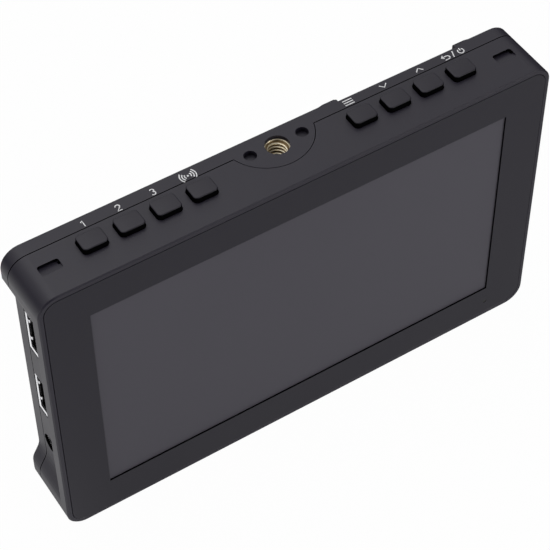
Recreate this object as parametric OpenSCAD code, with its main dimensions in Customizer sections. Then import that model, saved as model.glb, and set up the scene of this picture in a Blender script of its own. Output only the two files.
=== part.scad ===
// Camera field monitor: a flat moulded housing with a 6 inch touch screen, eight push keys on
// top, ports in a recess on each side and a slide-on battery plate on the back.
// X runs across the screen, Y from the front into the depth, Z up. The monitor stands on its
// bottom face, and the origin is the middle of that face.

/* [Housing] */
// Housing beside the lit picture, on each side
side_border = 14.4; // [13.8:0.1:18]
// Housing above and below the lit picture
end_border = 12.95; // [12.5:0.05:16]
// Depth of the housing, without the battery hooks
body_d = 21.2; // [20.6:0.1:24]
// Radius of the four corners, seen from the front
corner_r = 6; // [5:0.5:8]
// Wall of the mouldings
wall = 2; // [1.8:0.1:2.4]
// Bevel round the front edge
front_bevel = 0.4; // [0.2:0.1:0.6]
// Rounding of the rear edge
rear_r = 0.8; // [0.4:0.1:1.2]
// Depth at which the two halves of the housing meet
seam_y = 16.44; // [16.4:0.02:17]
// Width of the shadow line along that seam
seam_gap = 0.2; // [0.1:0.05:0.3]

/* [Screen] */
// Width of the lit picture
screen_w = 132.8; // [126:0.2:145]
// Height of the lit picture
screen_h = 74.7; // [71:0.1:82]
// Width of the housing's rim round the front panel
rim_w = 1.6; // [1.2:0.1:2]
// Thickness of the front panel
bezel_t = 1.4; // [1.2:0.1:1.6]
// Depth of the touch glass below the front panel
glass_step = 0.55; // [0.4:0.05:0.7]
// Overlap of the glass behind the front panel
glass_lap = 3; // [2.5:0.1:3.5]
// Border of the display cell round the picture
lcd_border = 2; // [1.5:0.1:2.5]
// Thickness of the frame plate behind the front panel
plate_t = 1.5; // [1.2:0.1:1.8]
// Thickness of the light guide
guide_t = 2.4; // [2:0.1:2.6]

/* [Keys] */
// Width of a key
key_w = 7.4; // [6:0.1:7.6]
// Depth of a key, front to back
key_d = 5.8; // [5:0.1:6.4]
// Height of a key above the housing
key_rise = 1.8; // [1.4:0.1:2.4]
// Corner radius of a key
key_r = 1.2; // [1:0.1:2]
// Travel of a key
key_travel = 0.5; // [0.3:0.05:0.6]
// Distance between keys in a row
key_pitch = 10.95; // [10.4:0.05:11.2]
// Distance of the inner keys from the middle, left
key_left_x = 25.7; // [25:0.05:28]
// Distance of the inner keys from the middle, right
key_right_x = 24.8; // [24:0.05:28]
// Depth of the key row behind the front
key_y = 11.2; // [10.8:0.1:11.4]

/* [Side recesses] */
// Depth of the recess in each side
recess_d = 3; // [2:0.1:3.2]
// Width of the housing's rim in front of the recess
recess_front = 3.7; // [3.5:0.1:5]
// Height at which the flat of the recess begins, and ends below the top
recess_end = 16.8; // [15.5:0.1:18]
// Height of the curve that leads back to the side
recess_curve = 8.2; // [7:0.1:8.4]

/* [Ports] */
// Height of the upper video socket above the middle
video_hi = 22.5; // [21:0.1:24]
// Height of the lower video socket above the middle
video_lo = -4.2; // [-5:0.1:1]
// Height of a video socket's metal shell, along the side
video_len = 15; // [14.6:0.1:15.4]
// Thickness of a video socket's metal shell, front to back
video_wide = 6; // [5.8:0.05:6.05]
// Height of the headphone jack above the middle
jack_at = -25.6; // [-26:0.1:-20]
// Bore of the headphone jack
jack_bore = 3.6; // [3.5:0.05:3.7]
// Height of the power inlet above the middle
power_at = 15.7; // [12:0.1:20]
// Bore of the power inlet
power_bore = 4.4; // [4:0.1:4.6]
// Height of the service port above the middle
service_at = -10.3; // [-15:0.1:-5]

/* [Stand fittings] */
// Depth of the threaded inserts behind the front
insert_y = 14.9; // [14.7:0.1:15.2]
// Bore of the threaded inserts, at the crests of the thread
insert_bore = 5.2; // [4.8:0.1:5.4]
// Opening of the plastic round an insert
insert_mouth = 7; // [6.8:0.1:7.4]
// Body diameter of an insert, below its mouth
insert_od = 8.6; // [8.2:0.1:8.8]
// Length of an insert
insert_len = 8.5; // [7:0.1:8.8]
// Distance between the two locating holes
pin_span = 16.4; // [16:0.1:17]
// Diameter of a locating hole
pin_hole = 3.7; // [3.2:0.1:3.9]
// Depth of a locating hole
pin_depth = 1.6; // [1.2:0.1:2.4]
// Radius of the rear cover's tongue round the insert
tongue_r = 13.2; // [13:0.1:13.8]
// Length of the catch for a hood's tab
catch_len = 6.2; // [5:0.1:6.6]
// Distance of that catch from the side of the housing
catch_in = 9.2; // [8.8:0.1:9.6]

/* [Battery plate] */
// Distance of the battery plate from the right side of the housing
bay_side = 12.8; // [12.4:0.1:14]
// Width of the channel between the hooks
channel_w = 39.4; // [39:0.1:40]
// Depth of the channel below the rear face
channel_d = 1; // [0.8:0.1:1.2]
// Width of the battery plate
plate_w = 51; // [50.6:0.1:51.6]
// Height of the battery plate's lower end
plate_z = 7.5; // [7:0.1:8]
// Height of the rails above the rear face
lip = 0.23; // [0.2:0.01:0.4]
// Height of the hooks above the rails
hook_rise = 2.7; // [2.4:0.1:3]
// Reach of the hooks over the channel
hook_over = 1.6; // [1.2:0.1:1.8]
// Length of a hook
hook_len = 8; // [5:0.5:12]
// Travel of the battery latch
latch_travel = 1.7; // [1.2:0.1:1.8]

/* [Hidden] */
$fn = 48;

fit = 0.15;             // clearance round a piece that drops into a pocket
snug = 0.05;            // clearance round a piece that is pressed in or guided
panel_fit = 0.08;       // clearance round the front panel
eps = 0.5;              // how far a cutter runs past the face that it opens

body_w = screen_w + 2*side_border;
body_h = screen_h + 2*end_border;
overall_d = body_d + lip + hook_rise;
plate_rear = bezel_t + plate_t;
rear_inner = body_d - wall;
top_inner = body_h - wall;
rim_soften = 0.2;       // bevel on the inner edge of the rim
seam_deep = 0.35;       // depth of the shadow line
ledge_lap = 2;          // frame plate that the swept rim carries

lcd_w = screen_w + 2*lcd_border;
lcd_h = screen_h + 2*lcd_border;
tray_wall = 0.5;
tray_lap = 0.8;         // tray beyond the display cell on each side
tray_rear = plate_rear + guide_t + tray_wall;
driver_w = 80;
driver_h = 12;
driver_t = 0.8;
ribbon_w = 24;
ribbon_t = 0.3;
ribbon_rise = 8;        // how far the ribbon climbs in its fold
board_front = 8.7;
board_t = 1.6;
board_rear = board_front + board_t;

flange_t = 0.9;
flange_lap = 0.5;
flange_top = top_inner - 0.1;
flange_low = flange_top - flange_t;
switch_gap = 0.1;       // air left under a key at the end of its travel
switch_h = 3.1;
switch_w = 6;
switch_top = flange_low - key_travel - switch_gap;
key_board_top = switch_top - switch_h;
key_board_t = 1.2;
key_board_low = key_board_top - key_board_t;
stem_r = 1.2;
stem_len = key_travel + switch_gap + 0.6;
stem_bore = 1.5;
key_board_d = 6.8;
key_board_front = key_y - 3.2;
key_end = 7;            // from an end key to the boss that carries its board
key_boss_r = 2;
key_ribbon_w = 6;
key_xs = [for (i = [3:-1:0]) -key_left_x - i*key_pitch, for (i = [0:3]) key_right_x + i*key_pitch];

screw_x = body_w/2 - 7.3;
screw_zs = [8, body_h - 8];
screw_boss_r = 3;
board_low = screw_zs[0] + screw_boss_r + 0.5;
board_top = key_board_low - 3.8;
board_mid = (board_low + board_top)/2;
board_half = body_w/2 - recess_d - wall - 0.3;
post_x = board_half - 2.4;
post_zs = [board_low + 3, board_top - 3];
post_r = 2.3;

middle = body_h/2;
video_hi_z = middle + video_hi;
video_lo_z = middle + video_lo;
jack_z = middle + jack_at;
power_z = middle + power_at;
service_z = middle + service_at;
video_y = board_rear + video_wide/2;
video_depth = 11;
video_tongue_w = 10.8;
jack_h = 5.2;
jack_w = 6.8;
jack_len = 13.5;
jack_y = board_rear + jack_h/2;
power_h = 5.1;
power_w = 7.2;
power_len = 12;
power_y = board_rear + power_h/2;
service_h = 3.3;
service_w = 9;
service_depth = 8;
service_y = board_rear + service_h/2;
jack_mouth = 3;         // radius of the hole in the wall round the jack
power_mouth = 2.9;
port_face = body_w/2 - recess_d;    // outer face of the recessed wall
port_inner = port_face - wall;

boss_r = 5.8;           // plastic round a threaded insert
mouth_t = 1.2;          // plastic over the shoulder of an insert
tongue_y = 20.5;
pin_y = 15.4;
pin_boss_r = 2.9;

bay_x = body_w/2 - bay_side - plate_w/2;
floor_y = body_d - channel_d;
floor_t = 1.6;
plate_under = floor_y - floor_t;
plate_top = body_h - 3 - fit;
plate_boss = plate_under - key_board_front - key_board_d - 0.3;     // length, clear of the key boards
plate_screw_x = (plate_w + channel_w)/4;
plate_screw_zs = [plate_z + 3, plate_top - 3];
rail_stop = 0.45;       // height of the rails' upper ends above the rear face
notch_step = 0.3;       // how far the notch over the plate lies below the channel's floor
ledge_t = 1;
ledge_in = 2.5;
ledge_out = 1.5;
hook_t = 1.2;
latch_below = 13.65;     // from the plate's upper end down to the latch's lower edge
block_z = plate_z + 1;
block_w = 22;
block_h = 4;
block_rise = 3.6;
blade_xs = [-7.5, -2.5, 2.5, 7.5];
blade_t = 0.8;
blade_len = 5;
latch_z = plate_top - latch_below;
battery_room = latch_z - block_z - block_h;
hook_zs = [for (i = [1, 3, 5]) block_z + block_h + battery_room*i/6];
latch_w = 12;
latch_h = 6;
latch_flange = 1.2;
latch_base = 1.4;
well_y = plate_under - 5.2;
well_wall = 1;

plastic = [0.27, 0.27, 0.29];
dark_plastic = [0.22, 0.22, 0.24];
board_green = [0.08, 0.28, 0.2];
steel = [0.78, 0.79, 0.8];
gold = [0.85, 0.68, 0.3];
ribbon_amber = [0.75, 0.5, 0.2];
black = [0.05, 0.05, 0.06];

// --- shared shapes ---

// Rounded rectangle about the origin
module rounded_rect(w, h, r) {
    square([w - 2*r, h], center = true);
    square([w, h - 2*r], center = true);
    for (x = [-1, 1], y = [-1, 1])
        translate([x*(w/2 - r), y*(h/2 - r)]) circle(r);
}

// Carries a flat profile round a rounded rectangle. The profile's x = 0 lies on the outline.
module sweep_round(w, h, r) {
    for (q = [0:3]) {
        run = (q % 2 == 0 ? h : w) - 2*r;
        reach = (q % 2 == 0 ? w : h)/2;
        rotate([0, 0, 90*q]) {
            translate([reach, run/2, 0]) rotate([90, 0, 0]) linear_extrude(run) children();
            translate([reach - r, run/2, 0]) rotate_extrude(angle = 90) translate([r, 0]) children();
        }
    }
}

// Stands up what is drawn lying on its face: x across, y up from the middle, z into the depth
module face_on() {
    translate([0, 0, body_h/2]) rotate([90, 0, 0]) mirror([0, 0, 1]) children();
}

// Extrudes an outline drawn in x and z from one depth to another
module across(y0, y1) {
    translate([0, y1, 0]) rotate([90, 0, 0]) linear_extrude(y1 - y0) children();
}

// Extrudes an outline drawn in y and z along x, about the middle
module along_x(len) {
    rotate([90, 0, 90]) translate([0, 0, -len/2]) linear_extrude(len) children();
}

// A round bar along y from one depth to another
module rod_y(x, z, r, y0, y1) {
    translate([x, y1, z]) rotate([90, 0, 0]) cylinder(h = y1 - y0, r = r);
}

// A round bar along x from one place to another
module rod_x(y, z, r, x0, x1) {
    translate([x0, y, z]) rotate([0, 90, 0]) cylinder(h = x1 - x0, r = r);
}

// The same shape at the left and right, or at the bottom and top
module both_sides() {
    children();
    mirror([1, 0, 0]) children();
}
module both_ends() {
    children();
    translate([0, 0, body_h]) mirror([0, 0, 1]) children();
}

// Height of the half cosine that leads from the recess back to the side
function ease(t) = (1 - cos(180*t))/2;

// Edge of the side recess, drawn in x and z, moved inward by a distance
recess_steps = 8;
function recess_half(inset) = [for (i = [0:recess_steps]) let (t = i/recess_steps)
    [body_w/2 - inset - recess_d*ease(t), recess_end - recess_curve*(1 - t)]];
function recess_edge(inset) = let (low = recess_half(inset)) concat(low,
    [for (i = [recess_steps:-1:0]) [low[i][0], body_h - low[i][1]]]);
module recess_region(inset, outer_x) {
    low = recess_end - recess_curve;
    polygon(concat([[outer_x, low]], recess_edge(inset), [[outer_x, body_h - low]]));
}
// What the recess takes away, and the wall that closes it inside
module recess_cut(y0, y1, inset) {
    both_sides() across(y0, y1) recess_region(inset, body_w/2 + 2);
}
module recess_wall(y0, y1) {
    both_sides() across(y0, y1) recess_region(wall, body_w/2 - wall/2);
}

// Places shared by holes and what goes through them
module at_screws() {
    for (x = [-screw_x, screw_x], z = screw_zs) translate([x, 0, z]) children();
}
module at_posts() {
    for (x = [-post_x, post_x], z = post_zs) translate([x, 0, z]) children();
}
module at_plate_screws() {
    for (x = [-plate_screw_x, plate_screw_x], z = plate_screw_zs)
        translate([bay_x + x, 0, z]) children();
}
module at_keys() {
    for (x = key_xs) translate([x, key_y, 0]) children();
}
module at_key_bosses() {
    for (x = [key_xs[0] - key_end, key_xs[3] + key_end, key_xs[4] - key_end, key_xs[7] + key_end])
        translate([x, key_y, 0]) children();
}

// --- housing ---

// Section of the front half: bevelled rim, wall, and the ledge that carries the frame plate
module front_section() {
    ledge = rim_w + ledge_lap;
    polygon([[-rim_w, rim_soften], [-rim_w + rim_soften, 0], [-front_bevel, 0], [0, front_bevel],
             [0, seam_y], [-wall, seam_y], [-wall, plate_rear],
             [-ledge, plate_rear], [-ledge, bezel_t], [-rim_w, bezel_t]]);
}

// Section of the rear half: shadow line, wall and the rounded rear edge
module rear_section() {
    turn = wall + 1;
    polygon(concat(
        [[-wall, seam_y], [-seam_deep, seam_y], [-seam_deep, seam_y + seam_gap], [0, seam_y + seam_gap]],
        [for (a = [0:22.5:90]) [rear_r*(cos(a) - 1), body_d - rear_r*(1 - sin(a))]],
        [[-turn, body_d], [-turn, rear_inner], [-wall, rear_inner]]));
}

// Openings in the recessed sides: notches closed by the rear cover, and round holes
module port_openings() {
    for (z = [video_hi_z, video_lo_z])
        translate([-port_face - eps, video_y - video_wide/2 - 0.35, z - video_len/2 - 0.35])
            cube([wall + 2*eps, seam_y + eps - (video_y - video_wide/2 - 0.35), video_len + 0.7]);
    rod_x(jack_y, jack_z, jack_mouth, -port_face - eps, -port_inner + eps);
    rod_x(power_y, power_z, power_mouth, port_inner - eps, port_face + eps);
    translate([port_inner - eps, service_y, service_z]) rotate([90, 0, 90])
        linear_extrude(wall + 2*eps)
            rounded_rect(service_h + 2*fit, service_w + 2*fit, service_h/2);
}

// Blind catch for a hood's tab: a ramp leads down to the back, where the tab snaps under the edge
module hood_catch() {
    back = 11.5;
    deep = 1;
    run = 3.6;
    translate([body_w/2 - catch_in, 0, body_h]) {
        intersection() {
            along_x(catch_len)
                polygon([[back, eps], [back, -deep], [back - 0.4, -deep], [back - run, 0], [back - run, eps]]);
            translate([0, back - run/2, -deep - eps]) linear_extrude(deep + 3*eps)
                rounded_rect(catch_len, run, 0.8);
        }
        translate([0, 0.1, 0]) along_x(catch_len - 1.8)
            polygon([[back - 0.3, -deep], [back + 0.5, -deep], [back + 0.5, -deep + 0.6], [back - 0.3, -deep + 0.6]]);
    }
}

module front_housing() {
    ledge = rim_w + ledge_lap - 0.5;
    color(plastic) difference() {
        union() {
            face_on() sweep_round(body_w, body_h, corner_r) front_section();
            across(bezel_t, plate_rear) translate([0, body_h/2])
                rounded_rect(body_w - 2*ledge, body_h - 2*ledge, corner_r - ledge);
            recess_wall(bezel_t, seam_y);
            at_screws() rod_y(0, 0, screw_boss_r, plate_rear - 0.2, rear_inner);
            at_posts() rod_y(0, 0, post_r, plate_rear - 0.2, board_front);
            at_key_bosses() translate([0, 0, key_board_top])
                cylinder(h = top_inner - key_board_top + 0.2, r = key_boss_r);
        }
        recess_cut(recess_front, body_d, 0);
        across(bezel_t - eps, plate_rear + eps) translate([0, body_h/2])
            square([lcd_w + 2*fit, lcd_h + 2*fit], center = true);
        at_keys() translate([0, 0, top_inner - eps]) linear_extrude(wall + 2*eps)
            rounded_rect(key_w + 0.4, key_d + 0.4, key_r + 0.2);
        both_ends() translate([0, tongue_y, top_inner - eps])
            cylinder(h = wall + 2*eps, r = tongue_r + seam_gap, $fn = 96);
        both_sides() hood_catch();
        port_openings();
        at_screws() rod_y(0, 0, 1.15, rear_inner - 11, rear_inner + eps);
        at_posts() rod_y(0, 0, 0.95, board_front - 4.5, board_front + eps);
        at_key_bosses() translate([0, 0, key_board_top - eps]) cylinder(h = 4 + eps, r = 0.85);
    }
}

// Half disc on the end wall that carries a threaded insert and two blind locating holes
module insert_tongue() {
    intersection() {
        translate([0, tongue_y, top_inner]) cylinder(h = wall, r = tongue_r, $fn = 96);
        translate([-tongue_r, 0, top_inner]) cube([2*tongue_r, rear_inner + wall/2, wall]);
    }
    translate([0, insert_y, body_h - insert_len - 0.6])
        cylinder(h = insert_len + 0.6 - wall/2, r = boss_r);
    for (x = [-1, 1])
        translate([x*pin_span/2, pin_y, body_h - pin_depth - 0.8])
            cylinder(h = pin_depth + 0.8 - wall/2, r = pin_boss_r);
}
module insert_holes() {
    translate([0, insert_y, 0]) {
        translate([0, 0, body_h - mouth_t - eps]) cylinder(h = mouth_t + 2*eps, r = insert_mouth/2);
        translate([0, 0, body_h - insert_len - 0.6 - eps])
            cylinder(h = insert_len + 0.6 - mouth_t + eps, r = insert_od/2);
    }
    for (x = [-1, 1])
        translate([x*pin_span/2, pin_y, body_h - pin_depth]) cylinder(h = pin_depth + eps, r = pin_hole/2);
}

// Cooling slots in the rear wall, beside the battery plate
vent_n = 9;
vent_pitch = 4.2;
vent_len = 30;
vent_w = 1.8;
module vents() {
    for (i = [0:vent_n - 1])
        across(rear_inner - eps, body_d + eps)
            translate([-bay_x, body_h/2 + (i - (vent_n - 1)/2)*vent_pitch])
                rounded_rect(vent_len, vent_w, vent_w/2 - 0.01);
}

// Outline of the battery plate in x and z, larger by a margin
module bay_outline(margin) {
    translate([bay_x - plate_w/2 - margin, plate_z - margin])
        square([plate_w + 2*margin, plate_top - plate_z + 2*margin]);
}

// Upper end of a rail, seen from above: x from the channel's edge outward, y the depth
module rail_end() {
    w = (plate_w - channel_w)/2;
    rear = body_d + rail_stop;
    polygon([[0, rear_inner], [w, rear_inner], [w, body_d + 0.1], [w - 1.8, rear], [0.25, rear], [0, rear - 0.25]]);
}

module rear_cover() {
    turn = wall + 0.5;
    color(plastic) difference() {
        union() {
            face_on() sweep_round(body_w, body_h, corner_r) rear_section();
            across(rear_inner, body_d) translate([0, body_h/2])
                rounded_rect(body_w - 2*turn, body_h - 2*turn, corner_r - turn);
            recess_wall(seam_y, body_d);
            both_ends() insert_tongue();
            across(plate_under - ledge_t, rear_inner + 0.2) bay_outline(ledge_out);
            translate([bay_x, 0, plate_top - 1]) both_sides() translate([channel_w/2, 0, 0])
                linear_extrude(body_h - 0.7 - plate_top + 1) rail_end();
            at_plate_screws() rod_y(0, 0, 2.3, plate_under - plate_boss, plate_under - 0.2);
        }
        recess_cut(seam_y - eps, body_d + eps, 0);
        recess_cut(seam_y - eps, seam_y + seam_gap, seam_deep);
        both_ends() insert_holes();
        vents();
        across(plate_under, body_d + lip + eps) bay_outline(fit);
        across(plate_under - ledge_t - eps, plate_under + eps) bay_outline(-ledge_in);
        translate([bay_x - channel_w/2, floor_y - notch_step, plate_top - 1])
            cube([channel_w, channel_d + notch_step + eps, body_h - plate_top + 2]);
        at_plate_screws() rod_y(0, 0, 0.95, plate_under - plate_boss - eps, plate_under + eps);
        at_screws() {
            rod_y(0, 0, 1.4, rear_inner - eps, body_d + eps);
            rod_y(0, 0, 2.4, body_d - 1.3, body_d + eps);
        }
    }
}

// --- screen ---

module panel_outline(margin) {
    side = rim_w + margin;
    translate([0, body_h/2]) rounded_rect(body_w - 2*side, body_h - 2*side, corner_r - side);
}
module screen_outline(margin) {
    translate([0, body_h/2]) square([screen_w + 2*margin, screen_h + 2*margin], center = true);
}
indicator_x = screen_w/2 - 0.1;
indicator_z = rim_w + 5.1;
indicator_r = 0.7;

module front_panel() {
    color(dark_plastic) difference() {
        across(0, bezel_t) panel_outline(panel_fit);
        across(-eps, bezel_t + eps) screen_outline(0);
        across(glass_step, bezel_t + eps) screen_outline(glass_lap + fit);
        rod_y(indicator_x, indicator_z, indicator_r, -eps, bezel_t + eps);
    }
}

module touch_panel() {
    color(black) across(glass_step, bezel_t) screen_outline(glass_lap);
}

module indicator_lens() {
    color(black) rod_y(indicator_x, indicator_z, indicator_r - snug/2, 0.1, bezel_t);
}

module display_cell() {
    color([0.12, 0.12, 0.14]) across(bezel_t, plate_rear) screen_outline(lcd_border);
}

module light_guide() {
    color("white") across(plate_rear, plate_rear + guide_t) screen_outline(lcd_border + 0.2);
}

module backlight_tray() {
    color(steel) difference() {
        across(plate_rear, tray_rear) screen_outline(lcd_border + tray_lap);
        across(plate_rear - eps, tray_rear - tray_wall) screen_outline(lcd_border + tray_lap - tray_wall);
    }
}

driver_z = body_h/2 - screen_h/2;
module driver_board() {
    color(board_green) translate([-driver_w/2, tray_rear, driver_z]) cube([driver_w, driver_t, driver_h]);
}

// Flat ribbon with one soft fold, from the driver board back to the main board
module display_ribbon() {
    y0 = tray_rear + driver_t;
    gap = board_front - y0;
    steps = 8;
    function fold(i, up) = [ribbon_t + (gap - 2*ribbon_t)*i/steps, up + ribbon_rise*ease(i/steps)];
    color(ribbon_amber) translate([0, y0, driver_z + driver_h - ribbon_t - 3.7]) along_x(ribbon_w)
        polygon(concat([[0, ribbon_t], [0, 0]], [for (i = [0:steps]) fold(i, 0)],
                       [[gap, ribbon_rise], [gap, ribbon_rise + ribbon_t]],
                       [for (i = [steps:-1:0]) fold(i, ribbon_t)]));
}

// --- boards ---

module main_board() {
    color(board_green) difference() {
        across(board_front, board_rear)
            translate([0, board_mid])
                rounded_rect(2*board_half, board_top - board_low, 1.5);
        at_posts() rod_y(0, 0, 1.15, board_front - eps, board_rear + eps);
    }
}

// Processor, memories, power parts and plugs: x, height above the board's middle, width,
// height and thickness
chip_list = [[-20, 2, 16, 16, 1.6], [-44, 10, 10, 10, 1.2], [-44, -8, 10, 10, 1.2], [2, 10, 8, 12, 1.1],
             [2, -8, 8, 12, 1.1], [26, 16, 9, 9, 2], [26, -4, 7, 7, 2], [50, -6, 8, 8, 2],
             [50, 18, 10, 6, 2.1], [-20, -26, 22, 5, 1.8], [-48, -26, 8, 8, 1.4], [30, -24, 12, 5, 1.8]];
module board_chips() {
    color(black) for (c = chip_list)
        translate([c[0] - c[2]/2, board_rear, board_mid + c[1] - c[3]/2]) cube([c[2], c[4], c[3]]);
}

module key_board(first, last) {
    over = key_end + 2.4;
    translate([key_xs[first] - over, key_board_front, key_board_low])
        cube([key_xs[last] - key_xs[first] + 2*over, key_board_d, key_board_t]);
}
module key_boards() {
    color(board_green) difference() {
        union() {
            key_board(0, 3);
            key_board(4, 7);
        }
        at_key_bosses() translate([0, 0, key_board_low - eps])
            cylinder(h = key_board_t + 2*eps, r = 0.95);
    }
}

module key_switches() {
    color(steel) difference() {
        at_keys() translate([-switch_w/2, -switch_w/2, key_board_top]) cube([switch_w, switch_w, switch_h]);
        at_keys() translate([0, 0, flange_low - stem_len - key_travel - 0.2])
            cylinder(h = stem_len + eps, r = stem_bore);
    }
}

module key_ribbons() {
    lap = 4;            // held in the main board's plug
    color(ribbon_amber) for (x = [(key_xs[1] + key_xs[2])/2, (key_xs[5] + key_xs[6])/2])
        translate([x - key_ribbon_w/2, board_front - ribbon_t, board_top - lap])
            cube([key_ribbon_w, ribbon_t, key_board_low - board_top + lap]);
}

// --- keys ---

// Section of a key's edge: straight sides and a rounded upper edge, reaching in to its core
key_soft = 0.3;
module key_section(h) {
    core = key_r - 0.1;
    polygon(concat([[-core, 0], [0, 0]],
                   [for (a = [0:22.5:90]) [key_soft*(cos(a) - 1), h - key_soft*(1 - sin(a))]],
                   [[-core, h]]));
}
module key(i) {
    h = body_h + key_rise - flange_low;
    color([0.24, 0.24, 0.26]) translate([key_xs[i], key_y, flange_low]) {
        sweep_round(key_w, key_d, key_r) key_section(h);
        translate([-key_w/2 + key_r - 0.2, -key_d/2 + key_r - 0.2, 0])
            cube([key_w - 2*key_r + 0.4, key_d - 2*key_r + 0.4, h]);
        linear_extrude(flange_t) rounded_rect(key_w + 2*flange_lap, key_d + 2*flange_lap, key_r + flange_lap);
        translate([0, 0, -stem_len]) cylinder(h = stem_len + 0.2, r = stem_r);
    }
}

// --- stand fittings ---

// Brass insert, held in its boss behind the plastic of the mouth, with a countersunk bore
module insert() {
    chamfer = 0.8;
    top = body_h - mouth_t - snug;
    color(gold) translate([0, insert_y, 0]) difference() {
        translate([0, 0, body_h - insert_len]) cylinder(h = top - body_h + insert_len, r = insert_od/2 - snug/2);
        translate([0, 0, body_h - insert_len - eps]) cylinder(h = insert_len, r = insert_bore/2);
        translate([0, 0, top - chamfer])
            cylinder(h = chamfer + 0.01, r1 = insert_bore/2, r2 = insert_bore/2 + chamfer);
    }
}
module top_insert() insert();
module bottom_insert() translate([0, 0, body_h]) mirror([0, 0, 1]) insert();

// --- ports ---

// Metal shell of a video socket, open to the side, with two sloped corners
module video_outline(margin) {
    l = video_len/2 + margin;
    w = video_wide/2 + margin;
    slope = 1.2;
    polygon([[-w, -l + slope], [-w + slope, -l], [w, -l], [w, l], [-w + slope, l], [-w, l - slope]]);
}
module video_shell(z) {
    skin = 0.45;
    color(steel) translate([-port_face + 0.1, video_y, z]) rotate([90, 0, 90]) difference() {
        linear_extrude(video_depth) video_outline(0);
        translate([0, 0, -eps]) linear_extrude(video_depth - skin + eps) video_outline(-skin);
    }
}
module video_tongue(z) {
    recess = 1.5;       // from the shell's mouth to the tongue's tip
    color(black) translate([-port_face + 0.1 + recess, video_y - 0.7, z - video_tongue_w/2])
        cube([video_depth - recess - 0.45, 1.4, video_tongue_w]);
}
module upper_video_shell() video_shell(video_hi_z);
module lower_video_shell() video_shell(video_lo_z);
module upper_video_tongue() video_tongue(video_hi_z);
module lower_video_tongue() video_tongue(video_lo_z);

module headphone_jack() {
    color(black) difference() {
        translate([-port_inner + 0.3, board_rear, jack_z - jack_w/2]) cube([jack_len, jack_h, jack_w]);
        rod_x(jack_y, jack_z, jack_bore/2, -port_inner, -port_inner + jack_len - 0.7);
    }
}
module headphone_collar() {
    color(steel) difference() {
        rod_x(jack_y, jack_z, 2.7, -port_face + 0.6, -port_inner + 0.3);
        rod_x(jack_y, jack_z, jack_bore/2, -port_face, -port_inner + 1);
    }
}

module power_inlet() {
    color(black) difference() {
        translate([port_inner - 0.3 - power_len, board_rear, power_z - power_w/2])
            cube([power_len, power_h, power_w]);
        rod_x(power_y, power_z, power_bore/2, port_inner - power_len + 1.7, port_inner);
    }
}
module power_pin() {
    color(steel) rod_x(power_y, power_z, 0.8, port_inner - power_len + 1.7, port_inner - 1.3);
}

module service_port() {
    skin = 0.3;
    inner = port_face - 0.4 - service_depth;
    color(steel) translate([inner, service_y, service_z]) rotate([90, 0, 90]) difference() {
        linear_extrude(service_depth) rounded_rect(service_h, service_w, service_h/2 - 0.01);
        translate([0, 0, skin]) linear_extrude(service_depth)
            rounded_rect(service_h - 2*skin, service_w - 2*skin, service_h/2 - skin - 0.01);
    }
}
module service_tongue() {
    w = service_w - 2.6;
    color(black) translate([port_face - service_depth - 0.1, service_y - 0.35, service_z - w/2])
        cube([service_depth - 1.7, 0.7, w]);
}

// --- battery plate ---

// Section of one rail: upright, and the hook that reaches over the channel. x = 0 is the
// channel's edge, and y is the depth.
module hook_section() {
    top = body_d + lip + hook_rise;
    back = 2.4;
    polygon([[-hook_over, top - hook_t], [0, top - hook_t], [0, floor_y - 0.2], [back, floor_y - 0.2],
             [back, top - 0.5], [back - 0.5, top], [-hook_over + 0.4, top], [-hook_over, top - 0.4]]);
}

// Contact blades: each stands out of the block along z, and its tail reaches the main board
module blades() {
    for (x = blade_xs) translate([bay_x + x - blade_t/2, 0, 0]) {
        translate([0, floor_y + 0.7, block_z + 1]) cube([blade_t, 2.2, block_h - 1 + blade_len]);
        translate([0, board_rear, block_z + block_h - 1.6]) cube([blade_t, floor_y + 1 - board_rear, 1.6]);
    }
}

// Closed well behind the floor, in which the latch and its spring sit
module latch_well() {
    w = latch_w + 2*latch_flange + 0.6 + 2*well_wall;
    h = latch_h + 2*latch_flange + 0.6 + 2*well_wall;
    difference() {
        translate([bay_x - w/2, well_y, latch_z - latch_flange - 0.3 - well_wall])
            cube([w, plate_under - well_y + 0.2, h]);
        translate([bay_x - w/2 + well_wall, well_y + well_wall, latch_z - latch_flange - 0.3])
            cube([w - 2*well_wall, plate_under - well_y, h - 2*well_wall]);
    }
}

module battery_plate() {
    color(dark_plastic) difference() {
        union() {
            across(plate_under, floor_y) bay_outline(0);
            for (x = [-1, 1])
                across(floor_y - 0.2, body_d + lip)
                    translate([bay_x + x*plate_screw_x - (plate_w - channel_w)/4, plate_z])
                        square([(plate_w - channel_w)/2, plate_top - plate_z]);
            for (side = [0, 1], z = hook_zs) translate([bay_x, 0, z - hook_len/2]) mirror([side, 0, 0])
                translate([channel_w/2, 0, 0]) linear_extrude(hook_len) hook_section();
            translate([bay_x - block_w/2, floor_y - 0.2, block_z]) cube([block_w, block_rise + 0.2, block_h]);
            latch_well();
        }
        blades();
        translate([bay_x - latch_w/2 - 0.2, plate_under - eps, latch_z - 0.2])
            cube([latch_w + 0.4, floor_t + 2*eps, latch_h + 0.4]);
        at_plate_screws() {
            rod_y(0, 0, 1.2, plate_under - eps, body_d + lip + eps);
            rod_y(0, 0, 2, body_d + lip - 1.4, body_d + lip + eps);
        }
    }
}

module battery_contacts() color(gold) blades();

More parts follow.
